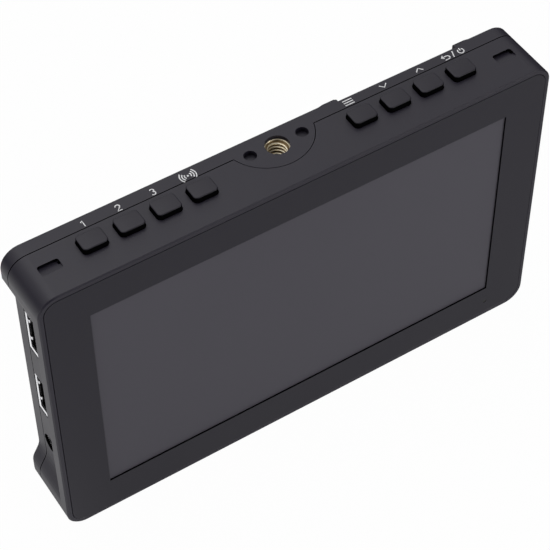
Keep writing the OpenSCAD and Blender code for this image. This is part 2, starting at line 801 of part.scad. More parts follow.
// Press pad with a ramped tooth at its lower end, and a flange that stops it behind the floor
module battery_latch() {
    flange_y = plate_under - 0.05 - latch_base;
    color(dark_plastic) translate([bay_x, 0, latch_z]) {
        translate([-latch_w/2 - latch_flange, flange_y, -latch_flange])
            cube([latch_w + 2*latch_flange, latch_base, latch_h + 2*latch_flange]);
        along_x(latch_w) polygon([[flange_y + 0.2, 0], [floor_y + latch_travel - 0.1, 0],
            [floor_y + latch_travel - 0.1, 1], [floor_y + 0.6, 2.8], [floor_y + 0.6, latch_h],
            [flange_y + 0.2, latch_h]]);
    }
}

// Compression spring between the floor of the well and the latch
spring_turns = 3;
spring_coil = 1.8;
spring_wire = 0.25;
module latch_spring() {
    y0 = well_y + well_wall + spring_wire;
    y1 = plate_under - 0.05 - latch_base - spring_wire;
    sides = 6;
    steps = 16*spring_turns;
    ring = [for (i = [0:steps], k = [0:sides - 1])
        let (a = 360*spring_turns*i/steps, b = 360*k/sides, r = spring_coil + spring_wire*cos(b))
        [r*cos(a), y0 + (y1 - y0)*i/steps + spring_wire*sin(b), r*sin(a)]];
    walls = [for (i = [0:steps - 1], k = [0:sides - 1])
        let (n = (k + 1) % sides, p = i*sides, q = p + sides)
            each [[p + k, p + n, q + n], [p + k, q + n, q + k]]];
    last = steps*sides;
    caps = [for (k = [1:sides - 2]) each [[0, k + 1, k], [last, last + k, last + k + 1]]];
    color(steel) translate([bay_x, 0, latch_z + latch_h/2]) polyhedron(ring, concat(walls, caps));
}

// --- screws ---

// Pan-headed screw along y: the head's rear face at a depth, the shank running forward
module screw_y(head_y, head_r, head_t, r, len) {
    rod_y(0, 0, head_r, head_y - head_t, head_y);
    rod_y(0, 0, r, head_y - head_t - len, head_y - head_t + 0.1);
}
module housing_screws() {
    color(steel) at_screws() screw_y(body_d - 0.1, 2.2, 1.2, 1.1, 9);
}
module plate_screws() {
    head_y = body_d + lip - 0.2;
    head_t = 1.2;
    color(steel) at_plate_screws()
        screw_y(head_y, 1.8, head_t, 0.9, head_y - head_t - plate_under + plate_boss);
}
module board_screws() {
    color(steel) at_posts() screw_y(board_rear + 1.2, 1.9, 1.2, 0.9, 5);
}
module key_board_screws() {
    color(steel) at_key_bosses() {
        translate([0, 0, key_board_low - 1]) cylinder(h = 1, r = 1.5);
        translate([0, 0, key_board_low - 0.1]) cylinder(h = 4.4, r = 0.8);
    }
}

// Centres the depth on the origin
module stand() translate([0, -overall_d/2, 0]) children();

stand() front_housing();
stand() rear_cover();
stand() front_panel();
stand() touch_panel();
stand() display_cell();
stand() light_guide();
stand() backlight_tray();
stand() driver_board();
stand() display_ribbon();
stand() main_board();
stand() board_chips();
stand() key_boards();
stand() key_switches();
stand() key_ribbons();
stand() key(0);  // key_one
stand() key(1);  // key_two
stand() key(2);  // key_three
stand() key(3);  // key_touch
stand() key(4);  // key_menu
stand() key(5);  // key_down
stand() key(6);  // key_up
stand() key(7);  // key_power
stand() top_insert();
stand() bottom_insert();
stand() upper_video_shell();
stand() lower_video_shell();
stand() upper_video_tongue();
stand() lower_video_tongue();
stand() headphone_jack();
stand() headphone_collar();
stand() power_inlet();
stand() power_pin();
stand() service_port();
stand() service_tongue();
stand() indicator_lens();
stand() battery_plate();
stand() battery_contacts();
stand() battery_latch();
stand() latch_spring();
stand() housing_screws();
stand() plate_screws();
stand() board_screws();
stand() key_board_screws();
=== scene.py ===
import math

import bmesh
import bpy
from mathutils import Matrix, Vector


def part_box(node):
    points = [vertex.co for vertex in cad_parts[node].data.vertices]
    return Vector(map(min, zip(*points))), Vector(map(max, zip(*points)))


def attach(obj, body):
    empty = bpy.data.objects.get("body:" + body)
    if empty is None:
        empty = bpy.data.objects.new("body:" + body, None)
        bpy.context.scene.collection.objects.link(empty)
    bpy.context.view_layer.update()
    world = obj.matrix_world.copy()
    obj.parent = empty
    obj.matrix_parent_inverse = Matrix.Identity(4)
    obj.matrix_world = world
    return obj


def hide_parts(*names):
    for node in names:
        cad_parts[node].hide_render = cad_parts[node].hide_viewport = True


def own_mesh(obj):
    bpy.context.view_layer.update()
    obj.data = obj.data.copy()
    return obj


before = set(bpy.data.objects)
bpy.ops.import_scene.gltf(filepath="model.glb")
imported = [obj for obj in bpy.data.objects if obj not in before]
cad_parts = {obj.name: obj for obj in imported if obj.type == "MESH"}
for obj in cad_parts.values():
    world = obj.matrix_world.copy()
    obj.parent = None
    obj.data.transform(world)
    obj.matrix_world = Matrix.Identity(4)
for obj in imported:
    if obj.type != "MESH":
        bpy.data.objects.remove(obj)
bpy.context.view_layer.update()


# --- Camera ---
# A long lens looks down on the monitor from its left and front. Its place and turn were found by
# fitting the outline of the housing, the picture's corners and the edges of the top.
mm = 0.001
photo_lens = 129.42
film_wide = 36
lens_shift = (-0.0012, -0.0009)
camera_place = (-195.86, -308.90, 481.64)
camera_turn = (40.263, 0.315, -32.40)

bpy.ops.object.select_all(action="DESELECT")
bpy.ops.object.camera_add(
    location=[mm*v for v in camera_place],
    rotation=[math.radians(v) for v in camera_turn],
)
camera = bpy.context.object
camera.data.lens = photo_lens
camera.data.sensor_width = film_wide
camera.data.shift_x = lens_shift[0]
camera.data.shift_y = lens_shift[1]
bpy.context.scene.camera = camera
bpy.context.scene.view_settings.view_transform = "Standard"


# --- Table and studio ---
# The monitor stands on a white table in a white room, and the table takes its soft shadow. Only
# gloss sees dark walls below the white ceiling, and a dark part of the table behind on the right.
# They give the dark lines along the rounded edges.
room_light = 0.25
white_glow = 1.0
dark_glow = 0.05
ceiling_way = (0, 0.5, 0.87)
ceiling_end = 0.72
wall_start = 0.42
far_right_way = (0.5, 0.866, 0)
far_right = (30, 90)
under_monitor = (-100, -60)
under_dim = 0.45
shadow_share = 0.02
white = (1.0, 1.0, 1.0, 1.0)
table_white = (0.85, 0.85, 0.85, 1.0)
table_wide = 8
table_drop = 0.05
lamp_target = (0, 0, 0.05)
lamps = {
    "lamp_above": {"place": (-0.05, 0.4, 1.1), "size": 0.8, "watts": 4.4},
    "lamp_front": {"place": (0.6, -1.0, 0.30), "size": 0.8, "watts": 8.5},
    "lamp_left": {"place": (-1.0, -0.1, 0.15), "size": 0.7, "watts": 3},
}


class Value:
    """An output of a material's nodes. Arithmetic on it adds Math nodes."""

    def __init__(self, sheet, socket):
        self.sheet = sheet
        self.socket = socket

    def math(self, operation, *others):
        return self.sheet.add("Math", {"operation": operation}, dict(enumerate((self, *others))))

    def __add__(self, other):
        return self.math("ADD", other)

    def __sub__(self, other):
        return self.math("SUBTRACT", other)

    def __rsub__(self, other):
        return self.sheet.add("Math", {"operation": "SUBTRACT"}, {0: other, 1: self})

    def __mul__(self, other):
        return self.math("MULTIPLY", other)

    __radd__ = __add__
    __rmul__ = __mul__

    def ramp(self, low, high, start=0.0, end=1.0):
        """Goes from start to end while this value goes from low to high, and stays there"""
        return self.sheet.add("MapRange", {"interpolation_type": "SMOOTHSTEP"},
                              {0: self, 1: low, 2: high, 3: start, 4: end})


class Sheet:
    """The nodes of one material or world, added one at a time"""

    def __init__(self, tree):
        self.tree = tree
        tree.nodes.clear()

    def add(self, kind, settings=(), sockets=(), out=0):
        node = self.tree.nodes.new("ShaderNode" + kind)
        for name, value in dict(settings).items():
            setattr(node, name, value)
        for name, value in dict(sockets).items():
            if isinstance(value, Value):
                self.tree.links.new(value.socket, node.inputs[name])
            else:
                node.inputs[name].default_value = value
        return Value(self, node.outputs[out]) if node.outputs else None

    def mix(self, share, low, high):
        return self.add("Mix", {"data_type": "RGBA"}, {0: share, 6: low, 7: high}, out=2)

    def mix_shaders(self, share, low, high):
        return self.add("MixShader", {}, {0: share, 1: low, 2: high})

    def dot(self, one, other):
        return self.add("VectorMath", {"operation": "DOT_PRODUCT"}, {0: one, 1: other}, out="Value")

    def place(self):
        return self.add("TexCoord", out="Object")

    def axes(self):
        """X, Y and Z of the place"""
        split = self.add("SeparateXYZ", {}, {0: self.place()}).socket.node.outputs
        return [Value(self, split[axis]) for axis in "XYZ"]

    def noise(self, size, detail=2.0, where=None):
        """Soft random spots of about this size in millimetres, from 0 to 1"""
        return self.add("TexNoise", {}, {"Vector": where or self.place(), "Scale": 1/(size*mm),
                                         "Detail": detail}, out="Fac")

    def bump(self, height, depth, strength, **under):
        """A relief of this depth in millimetres, over another normal if one is given"""
        return self.add("Bump", {}, {"Height": height, "Distance": depth*mm, "Strength": strength,
                                     **under})

    def ray(self, kind):
        return self.add("LightPath", out=f"Is {kind} Ray")

    def seen(self):
        """1 for what the camera sees, by itself, in gloss or through glass, and 0 for light"""
        direct_or_gloss = self.ray("Camera").math("MAXIMUM", self.ray("Glossy"))
        return direct_or_gloss.math("MAXIMUM", self.ray("Transmission"))

    def surface(self, shader):
        self.add("OutputMaterial", {}, {"Surface": shader})


def new_material(name):
    material = bpy.data.materials.new(name)
    material.use_nodes = True
    return material, Sheet(material.node_tree)


table_material, sheet = new_material("white_table")
painted = sheet.add("BsdfDiffuse", {}, {"Color": table_white})
dark = sheet.add("Emission", {}, {"Color": white, "Strength": dark_glow})
bright = sheet.add("Emission", {}, {"Color": white, "Strength": white_glow})
# Gloss sees the table dimmed to a little over half from about the monitor's left end rightwards: a
# painted shade of the monitor on the table
under = sheet.axes()[0].ramp(*(mm*v for v in under_monitor), 0, under_dim)
behind = sheet.dot(sheet.place(), far_right_way).ramp(*(mm*v for v in far_right))
glowing = sheet.mix_shaders(under.math("MAXIMUM", behind)*sheet.ray("Glossy"), bright, dark)
sheet.surface(sheet.mix_shaders(sheet.seen()*(1 - shadow_share), painted, glowing))
bpy.ops.mesh.primitive_plane_add(size=table_wide, location=(0, 0, -table_drop*mm))
table = bpy.context.object
table.name = "table"
table.data.materials.append(table_material)

world = bpy.data.worlds.new("studio")
world.use_nodes = True
bpy.context.scene.world = world
sheet = Sheet(world.node_tree)
dim, bright, dark = [sheet.add("Background", {}, {"Color": white, "Strength": strength})
                     for strength in (room_light, white_glow, dark_glow)]
room = sheet.mix_shaders(sheet.seen(), dim, bright)
wall = sheet.dot(sheet.add("TexCoord", out="Generated"), ceiling_way).ramp(ceiling_end, wall_start)
room = sheet.mix_shaders(wall*sheet.ray("Glossy"), room, dark)
sheet.add("OutputWorld", {}, {"Surface": room})

for name, lamp in lamps.items():
    aim = Vector(lamp_target) - Vector(lamp["place"])
    bpy.ops.object.light_add(
        type="AREA", location=lamp["place"], rotation=aim.to_track_quat("-Z", "Y").to_euler())
    light = bpy.context.object
    light.name = name
    light.data.size = lamp["size"]
    light.data.energy = lamp["watts"]


# --- Housing ---
# Two halves moulded in dark grey plastic with a fine spark-eroded grain. The front half carries
# the rim, the top and the sides, and the rear cover closes it along a thin shadow line. Painted
# shade in black darkens that line, the jack's hole and the walls of the hood catches.
def colour(red, green, blue):
    """A colour as a picture shows it, 0 to 255, for a shader's socket"""
    return tuple(((v/255 + 0.055)/1.055)**2.4 for v in (red, green, blue)) + (1.0,)


housing_grey = colour(31, 28, 39)
housing_paler = colour(42, 39, 51)
painted_shade_black = colour(3, 3, 4)
slow_size = 22
rub_and_highlight_size = 3.0
rub_and_highlight_reach = 0.35
rub_and_highlight_turn = (0.985, 0.80)
rub_and_highlight_patch = (0.30, 0.65)
soft_edge = 0.10
seam_place = 16.44
seam_wide = 0.2
tongue_half = 12.8
catch_x = 71.6
catch_half = 3.1
catch_rear = 11.5
catch_wall = 0.55
catch_side = 1.6
catch_dark = (-0.95, -0.10)
jack_mouth = 3.0
left_end = (-60, -70)
front_low, front_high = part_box("front_housing")
front_y = front_low.y
top_z = front_high.z
jack = sum(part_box("headphone_collar"), Vector())/2


def coat(material, *nodes):
    """Gives CAD nodes their material"""
    for node in nodes:
        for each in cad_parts[node].material_slots:
            each.material = material


def moulded(name, base, paler, grain=0.3, relief=0.012, rough=0.46, ior=1.38, painted_shade=None):
    """Moulded plastic: a fine grain, a slow change of tone, and paler edges of rubbed wear and
    painted highlight. It is painted black as shade where a function of X, Y and Z says so, if one
    is given."""
    material, sheet = new_material(name)
    fine = sheet.noise(grain, 3.0)
    slow = sheet.noise(slow_size)
    # Paler edges in random patches: partly rubbed wear, partly a painted highlight along the edges
    rounded = sheet.add("Bevel", {"samples": 4}, {"Radius": rub_and_highlight_reach*mm})
    edge = sheet.dot(rounded, sheet.add("NewGeometry", out="Normal")).ramp(*rub_and_highlight_turn)
    rub_and_highlight = edge*sheet.noise(rub_and_highlight_size).ramp(*rub_and_highlight_patch)
    tone = sheet.mix((fine - 0.5)*0.35 + (slow - 0.5)*0.30 + 0.10 + rub_and_highlight*0.3, base, paler)
    softened = sheet.add("Bevel", {"samples": 4}, {"Radius": soft_edge*mm})
    plastic = sheet.add("BsdfPrincipled", {}, {
        "Base Color": tone, "Roughness": (slow - 0.5)*0.12 + (fine - 0.5)*0.1 + rough - rub_and_highlight*0.1,
        "IOR": ior, "Normal": sheet.bump(fine, relief, 0.7, Normal=softened)})
    if painted_shade:
        # Painted shade: flat black where the mask says
        hollow = sheet.add("BsdfDiffuse", {}, {"Color": painted_shade_black})
        plastic = sheet.mix_shaders(painted_shade(*sheet.axes()), plastic, hollow)
    sheet.surface(plastic)
    return material


def band(value, low, high, soft):
    """1 while a value lies from low to high, in millimetres, with soft ends"""
    return value.ramp(mm*(low - soft), mm*low)*value.ramp(mm*(high + soft), mm*high)


def from_line(one, other, line):
    """How far two of the axes lie from a line along the third"""
    one = one - line[0]
    other = other - line[1]
    return (one*one + other*other).math("SQRT")


def housing_shade(x, y, z):
    """Painted shade in black: the shadow line along the seam, which stops at the tongue, the hole
    round the headphone jack, and the rear and right walls of the two hood catches"""
    hole = from_line(y, z, jack.yz).ramp(mm*(jack_mouth + 0.05), mm*(jack_mouth + 0.02))
    hole = hole*x.ramp(*(mm*v for v in left_end))
    y, z = y - front_y, z - top_z
    off_tongue = x.math("ABSOLUTE").ramp(mm*(tongue_half - 0.05), mm*tongue_half)
    seam = band(y, seam_place - 0.05, seam_place + seam_wide + 0.02, 0.03)*off_tongue
    deep = band(z, *catch_dark, 0.08)
    rear = band(y, catch_rear - 0.15, catch_rear + 1, 0.02)
    right = band(y, catch_rear - catch_side, catch_rear, 0.05)
    walls = 0
    for middle in (-catch_x, catch_x):
        end = middle + catch_half
        walls += band(x, middle - catch_half, end, 0.02)*rear
        walls += band(x, end - catch_wall, end, 0.02)*right
    catches = walls.math("MINIMUM", 1)*deep
    return seam.math("MAXIMUM", catches).math("MAXIMUM", hole)


housing_plastic = moulded("housing_plastic", housing_grey, housing_paler, painted_shade=housing_shade)
coat(housing_plastic, "front_housing", "rear_cover")


# --- Front panel ---
# A flat moulded frame let into the front of the housing, the same plastic but a little darker.
# Its inner edge is painted black as shade, and shows as a thin dark line along the screen.
panel_grey = colour(34, 32, 40)
panel_paler = colour(47, 45, 53)
opening_x = (-74, 74)
opening_z = (5, 95)
face_thick = (0.06, 0.08)


def panel_shade(x, y, z):
    """Painted shade in black on the walls of the opening for the screen"""
    inner = band(x, *opening_x, 0.5)*band(z, *opening_z, 0.5)
    return inner*y.ramp(*(front_y + mm*v for v in face_thick))


panel_plastic = moulded("panel_plastic", panel_grey, panel_paler, grain=0.25, relief=0.008,
                        ior=1.3, painted_shade=panel_shade)
coat(panel_plastic, "front_panel")


# --- Screen ---
# A bonded touch panel under an etched film that takes away mirror images, so the dark screen
# looks plain grey. Its cell, light guide and steel tray lie behind it.
film_grey = colour(77, 75, 82)
film_deep = colour(72, 70, 77)
etch_size = 0.12
etch_deep = 0.004
film_cloud = 60
brushed_along_x = (0.04, 1, 1)

film, sheet = new_material("etched_film")
etch = sheet.noise(etch_size, 1.0)
slow = sheet.noise(film_cloud, 1.0)
tone = sheet.mix((slow - 0.5)*0.8 + (etch - 0.5)*0.2 + 0.5, film_deep, film_grey)
sheet.surface(sheet.add("BsdfPrincipled", {}, {
    "Base Color": tone, "Roughness": (slow - 0.5)*0.06 + 0.42, "IOR": 1.22,
    "Normal": sheet.bump(etch, etch_deep, 0.4)}))
coat(film, "touch_panel")


def plain(name, base, other, size, rough, metal=0.0, relief=0.003, stretch=None):
    """A finish with a soft change of tone of a given size, drawn out along an axis if brushed"""
    material, sheet = new_material(name)
    where = sheet.place()
    if stretch:
        where = sheet.add("Mapping", {}, {"Vector": where, "Scale": stretch})
    spots = sheet.noise(size, 3.0, where)
    sheet.surface(sheet.add("BsdfPrincipled", {}, {
        "Base Color": sheet.mix(spots, base, other), "Metallic": metal,
        "Roughness": (spots - 0.5)*0.2 + rough, "Normal": sheet.bump(spots, relief, 0.5)}))
    return material


polariser = plain("polariser", colour(28, 28, 34), colour(38, 37, 44), 8, 0.25)
guide_film = plain("acrylic_and_film", colour(225, 226, 228), colour(240, 240, 240), 5, 0.4)
sheet_steel = plain("sheet_steel", colour(170, 172, 175), colour(205, 206, 208), 0.5, 0.35, 1.0,
                    stretch=brushed_along_x)
smoked_lens = plain("smoked_lens", colour(3, 3, 4), colour(8, 8, 9), 0.4, 0.5)
coat(polariser, "display_cell")
coat(guide_film, "light_guide")
coat(sheet_steel, "backlight_tray")
coat(smoked_lens, "indicator_lens")


# --- Circuit boards ---
# Green boards with copper under the solder mask, black chips, and amber ribbons of film. They lie
# inside the housing, and only the cooling slots give a glimpse of them.
mask_green = colour(16, 82, 58)
copper_green = colour(44, 124, 84)
lane_size = 4
pad_size = 2.6
copper_thick = 0.03
drawn_along_x = (1, 0.1, 0.1)

board, sheet = new_material("circuit_board")
facing_rear = sheet.add("Mapping", {}, {"Vector": sheet.place(), "Rotation": (math.pi/2, 0, 0)})
lanes = sheet.add("TexBrick", {"offset": 0.35, "squash": 1.0}, {
    "Vector": facing_rear, "Color1": (1, 1, 1, 1), "Color2": (0.6, 0.6, 0.6, 1),
    "Mortar": (0, 0, 0, 1), "Scale": 1/(lane_size*mm), "Mortar Size": 0.03, "Brick Width": 1.6,
    "Row Height": 0.22})
pads = sheet.add("TexVoronoi", {"feature": "F1"}, {
    "Vector": sheet.place(), "Scale": 1/(pad_size*mm)}).ramp(0.20, 0.16)
copper = lanes*0.6 + pads
sheet.surface(sheet.add("BsdfPrincipled", {}, {
    "Base Color": sheet.mix(copper, mask_green, copper_green), "Roughness": 0.35 - pads*0.1,
    "Normal": sheet.bump(copper, copper_thick, 0.6)}))
chip_epoxy = plain("chip_epoxy", colour(22, 22, 24), colour(36, 36, 38), 0.3, 0.55)
amber_film = plain("amber_film", colour(150, 88, 24), colour(190, 120, 40), 0.8, 0.3,
                   stretch=drawn_along_x)
nickel = plain("nickel_plate", colour(205, 206, 208), colour(232, 232, 232), 0.6, 0.22, 1.0,
               relief=0.002)
coat(board, "driver_board", "main_board", "key_boards")
coat(chip_epoxy, "board_chips")
coat(amber_film, "display_ribbon", "key_ribbons")
coat(nickel, "key_switches", "board_screws", "key_board_screws", "power_pin")


# --- Keys ---
# Eight soft-touch caps in two rows of four. Each is a rounded block with black sides and a grey
# top, and a flange under the housing's wall keeps it in. The stem below presses its switch.
keys = ["key_one", "key_two", "key_three", "key_touch",
        "key_menu", "key_down", "key_up", "key_power"]
key_size = (7.4, 5.8)
key_corner = 1.2
key_edge = 0.35
flange_out = 0.5
flange_thick = 0.9
stem_radius = 1.2
stem_long = 1.2
side_high = 1.45
grey_from = 1.72
smooth_below = 35
skin_size = 0.25
skin_deep = 0.008
key_top = colour(24, 21, 31)
key_worn = colour(33, 30, 41)
key_side = colour(5, 5, 6)


def pick(kind, test):
    """In edit mode, selects the faces or edges whose centre and direction pass the test"""
    bpy.ops.mesh.select_mode(type=kind)
    bpy.ops.mesh.select_all(action="DESELECT")
    mesh = bmesh.from_edit_mesh(bpy.context.object.data)
    for part in (mesh.faces if kind == "FACE" else mesh.edges):
        if kind == "FACE":
            chosen = test(part.calc_center_median(), part.normal)
        else:
            ends = [v.co for v in part.verts]
            chosen = test((ends[0] + ends[1])/2, (ends[1] - ends[0]).normalized())
        if chosen:
            part.select_set(True)
    mesh.select_flush_mode()
    bmesh.update_edit_mesh(bpy.context.object.data)


def block(centre, size):
    """Starts a piece from a box, in millimetres about a place in metres, opened for editing"""
    bpy.ops.object.select_all(action="DESELECT")
    bpy.ops.mesh.primitive_cube_add(size=1, location=centre, scale=[mm*v for v in size])
    bpy.ops.object.transform_apply(location=True, rotation=True, scale=True)
    piece = bpy.context.object
    bpy.ops.object.mode_set(mode="EDIT")
    return piece


def close():
    """Ends editing and smooths what turns by less than an angle"""
    bpy.ops.object.mode_set(mode="OBJECT")
    bpy.ops.object.shade_smooth_by_angle(angle=math.radians(smooth_below))


def copy_of(master, place, turn=(0, 0, 0)):
    """A copy of a piece with a mesh of its own, put at a place and turned"""
    piece = master.copy()
    piece.data = master.data.copy()
    bpy.context.scene.collection.objects.link(piece)
    piece.location = place
    piece.rotation_euler = turn
    return piece


def take(*pieces):
    """Selects these pieces alone and makes the first the one to work on"""
    bpy.ops.object.select_all(action="DESELECT")
    for piece in pieces:
        piece.select_set(True)
    bpy.context.view_layer.objects.active = pieces[0]


def finish(piece, name, body, material):
    """Names a piece, puts its place in its mesh, and gives it its body and material"""
    take(piece)
    bpy.ops.object.transform_apply(location=True, rotation=True, scale=True)
    piece.name = name
    piece.data.materials.clear()
    piece.data.materials.append(material)
    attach(piece, body)


first_low, first_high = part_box("key_one")
key_middle = (first_low + first_high)/2
flange_z = first_low.z + stem_long*mm
body_z = flange_z + flange_thick*mm
body_high = first_high.z - body_z
key = block((key_middle.x, key_middle.y, body_z + body_high/2), (*key_size, body_high/mm))
pick("EDGE", lambda at, way: abs(way.z) > 0.9)
bpy.ops.mesh.bevel(offset=key_corner*mm, segments=8, affect="EDGES")
pick("FACE", lambda at, way: way.z > 0.9)
bpy.ops.mesh.region_to_loop()
bpy.ops.mesh.bevel(offset=key_edge*mm, segments=5, affect="EDGES")
pick("FACE", lambda at, way: way.z < -0.9)
bpy.ops.mesh.extrude_region_move()
grow = [(side + 2*flange_out)/side for side in key_size]
bpy.ops.transform.resize(value=(*grow, 1), center_override=(key_middle.x, key_middle.y, body_z))
bpy.ops.mesh.extrude_region_move(TRANSFORM_OT_translate={"value": (0, 0, -flange_thick*mm)})
bpy.ops.mesh.primitive_cylinder_add(
    vertices=24, radius=stem_radius*mm, depth=stem_long*mm,
    location=(key_middle.x, key_middle.y, first_low.z + stem_long*mm/2))
close()

soft_touch, sheet = new_material("soft_touch")
skin = sheet.noise(skin_size)
lit = sheet.axes()[2].ramp(top_z + side_high*mm, top_z + grey_from*mm)
tone = sheet.mix(lit, key_side, sheet.mix(skin, key_top, key_worn))
cap = sheet.add("BsdfPrincipled", {}, {
    "Base Color": tone, "Roughness": lit*0.1 + 0.35 + (skin - 0.5)*0.08, "IOR": 1.36,
    "Normal": sheet.bump(skin, skin_deep, 0.5)})
hollow = sheet.add("BsdfDiffuse", {}, {"Color": key_side})
sheet.surface(sheet.mix_shaders(lit, hollow, cap))

for node in keys:
    low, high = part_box(node)
    piece = copy_of(key, ((low.x + high.x)/2 - key_middle.x, 0, 0))
    finish(piece, node + "_cap", node, soft_touch)
    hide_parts(node)
bpy.data.objects.remove(key)


# --- Marks over the keys ---
# White ink printed on the rear strip of the top: plain numbers over three keys, and generic
# icons over the others for touch, menu, down, up, back and power.
mark_y = 18.1
ink_width = 0.36
ink_thick = 0.03
ink_white = colour(252, 252, 253)
ink_pale = colour(240, 240, 243)


def arc(x, y, radius, start, end, steps=10):
    """Points along an arc, with angles in degrees"""
    turn = [math.radians(start + (end - start)*i/steps) for i in range(steps + 1)]
    return [(x + radius*math.cos(a), y + radius*math.sin(a)) for a in turn]


one = [[(-0.45, 0.65), (0.10, 1.05), (0.10, -1.05)]]
two = [arc(0, 0.45, 0.62, 170, -30) + [(-0.62, -1.05), (0.70, -1.05)]]
three = [arc(-0.05, 0.50, 0.55, 150, -80), arc(-0.05, -0.45, 0.62, 80, -150)]
rings = [arc(0, 0, 0.18, 0, 360)]
rings += [arc(0, 0, r, side - 42, side + 42) for r in (0.95, 1.65, 2.35) for side in (0, 180)]
bars = [[(-1.5, y), (1.5, y)] for y in (-0.85, 0, 0.85)]
down = [[(-1.15, 0.6), (0, -0.6), (1.15, 0.6)]]
up = [[(-1.15, -0.6), (0, 0.6), (1.15, -0.6)]]
back = [[(-3.6, 0.35), (-2.0, 0.35)] + arc(-2.0, -0.3, 0.65, 90, -90) + [(-3.2, -0.95)],
        [(-3.0, 0.95), (-3.7, 0.35), (-3.0, -0.25)]]
slash = [[(-0.35, -1.1), (0.35, 1.1)]]
power = [arc(2.6, -0.1, 0.9, 125, 415), [(2.6, 0.1), (2.6, 1.1)]]
marks = {
    "mark_one": (-57.35, one), "mark_two": (-47.0, two), "mark_three": (-36.6, three),
    "mark_touch": (-25.9, rings), "mark_menu": (25.0, bars), "mark_down": (36.6, down),
    "mark_up": (48.4, up), "mark_power": (60.05, back + slash + power)}


def drawn(points):
    """A line through points, drawn from one vertex that is extruded along them"""
    bpy.ops.object.select_all(action="DESELECT")
    bpy.ops.mesh.primitive_plane_add(size=mm, location=points[0])
    bpy.ops.object.mode_set(mode="EDIT")
    bpy.ops.mesh.select_mode(type="VERT")
    bpy.ops.mesh.select_all(action="SELECT")
    bpy.ops.mesh.merge(type="CENTER")
    for here, there in zip(points, points[1:]):
        bpy.ops.mesh.extrude_region_move(
            TRANSFORM_OT_translate={"value": Vector(there) - Vector(here)})
    bpy.ops.object.mode_set(mode="OBJECT")
    bpy.ops.object.transform_apply(location=True, rotation=True, scale=True)
    return bpy.context.object


def joined(pieces):
    """Puts the places of pieces in their meshes and makes them one"""
    take(*pieces)
    bpy.ops.object.transform_apply(location=True, rotation=True, scale=True)
    if len(pieces) > 1:
        bpy.ops.object.join()
    return bpy.context.object


ink, sheet = new_material("white_ink")
speck = sheet.noise(0.15)
sheet.surface(sheet.add("BsdfPrincipled", {}, {
    "Base Color": sheet.mix(speck, ink_pale, ink_white), "Roughness": 0.55 + (speck - 0.5)*0.2}))

for name, (x, lines) in marks.items():
    strokes = []
    for line in lines:
        drawn([(mm*(x + px), front_y + mm*(mark_y + py), 0) for px, py in line])
        bpy.ops.object.convert(target="CURVE")
        stroke = bpy.context.object
        stroke.data.bevel_depth = ink_width*mm/2
        stroke.data.bevel_resolution = 2
        stroke.data.use_fill_caps = True
        bpy.ops.object.convert(target="MESH")
        strokes.append(bpy.context.object)
    mark = joined(strokes)
    mark.scale.z = 2*ink_thick/ink_width
    mark.location.z = top_z
    bpy.ops.object.shade_smooth()
    finish(mark, name, "monitor", ink)


# --- Threaded inserts ---
# Turned brass bushes for a camera screw, one in the top and one in the bottom, with a real
# quarter-inch thread of 20 turns to the inch and a countersunk mouth.
thread_pitch = 1.27
thread_wave = ((0, 0), (0, 0.16), (1, 0.56), (1, 0.71), (0, 1.11), (0, 1.27))
thread_crest = 2.60
thread_root = 3.18
insert_long = 7.25
insert_body = 4.275
insert_edge = 0.3
countersink = 0.8
weld = 0.002
brass_light = colour(254, 250, 236)
brass_dark = colour(250, 222, 160)
brass_groove_shade = colour(132, 110, 76)


def lathe(points, steps=64):
    """Spins an open line of (radius, height) points, in millimetres, into a round shape about Z"""
    piece = drawn([(mm*r, 0, mm*z) for r, z in points])
    bpy.ops.object.mode_set(mode="EDIT")
    bpy.ops.mesh.select_all(action="SELECT")
    bpy.ops.mesh.spin(steps=steps, angle=2*math.pi, center=(0, 0, 0), axis=(0, 0, 1))
    bpy.ops.mesh.select_all(action="SELECT")
    bpy.ops.mesh.remove_doubles(threshold=weld*mm)
    bpy.ops.mesh.normals_make_consistent(inside=False)
    bpy.ops.object.mode_set(mode="OBJECT")
    return piece


def wound(points, rise, turns, steps):
    """Winds a line of (radius, height) points, in millimetres, up round Z by a rise for each
    turn, and opens it for editing"""
    piece = drawn([(mm*r, 0, mm*z) for r, z in points])
    bpy.ops.object.modifier_add(type="SCREW")
    screw = piece.modifiers[-1]
    screw.axis = "Z"
    screw.screw_offset = rise*mm
    screw.iterations = turns
    screw.steps = steps
    screw.render_steps = steps
    screw.use_merge_vertices = True
    screw.merge_threshold = weld*mm
    bpy.ops.object.modifier_apply(modifier=screw.name)
    bpy.ops.object.mode_set(mode="EDIT")
    bpy.ops.mesh.select_all(action="SELECT")
    bpy.ops.mesh.remove_doubles(threshold=weld*mm)
    return piece


def threaded_rod(low, high, inner, outer, pitch):
    """A solid rod with a raised V thread, from one height to another, in millimetres"""
    wave = [(outer if raised else inner, low - 2*pitch + z*pitch/thread_pitch)
            for raised, z in thread_wave]
    rod = wound(wave, pitch, int((high - low)/pitch) + 4, 48)
    for height, side in ((low, -1), (high, 1)):
        bpy.ops.mesh.select_all(action="SELECT")
        bpy.ops.mesh.bisect(plane_co=(0, 0, mm*height), plane_no=(0, 0, side), use_fill=True,
                            clear_outer=True, threshold=0.001*mm)
    bpy.ops.mesh.select_all(action="SELECT")
    bpy.ops.mesh.normals_make_consistent(inside=False)
    bpy.ops.object.mode_set(mode="OBJECT")
    return rod


def carve(piece, tool):
    """Takes the tool's solid out of the piece, and the tool away"""
    take(piece)
    bpy.ops.object.modifier_add(type="BOOLEAN")
    cut = piece.modifiers[-1]
    cut.operation = "DIFFERENCE"
    cut.solver = "EXACT"
    cut.object = tool
    bpy.ops.object.modifier_apply(modifier=cut.name)
    bpy.data.objects.remove(tool)


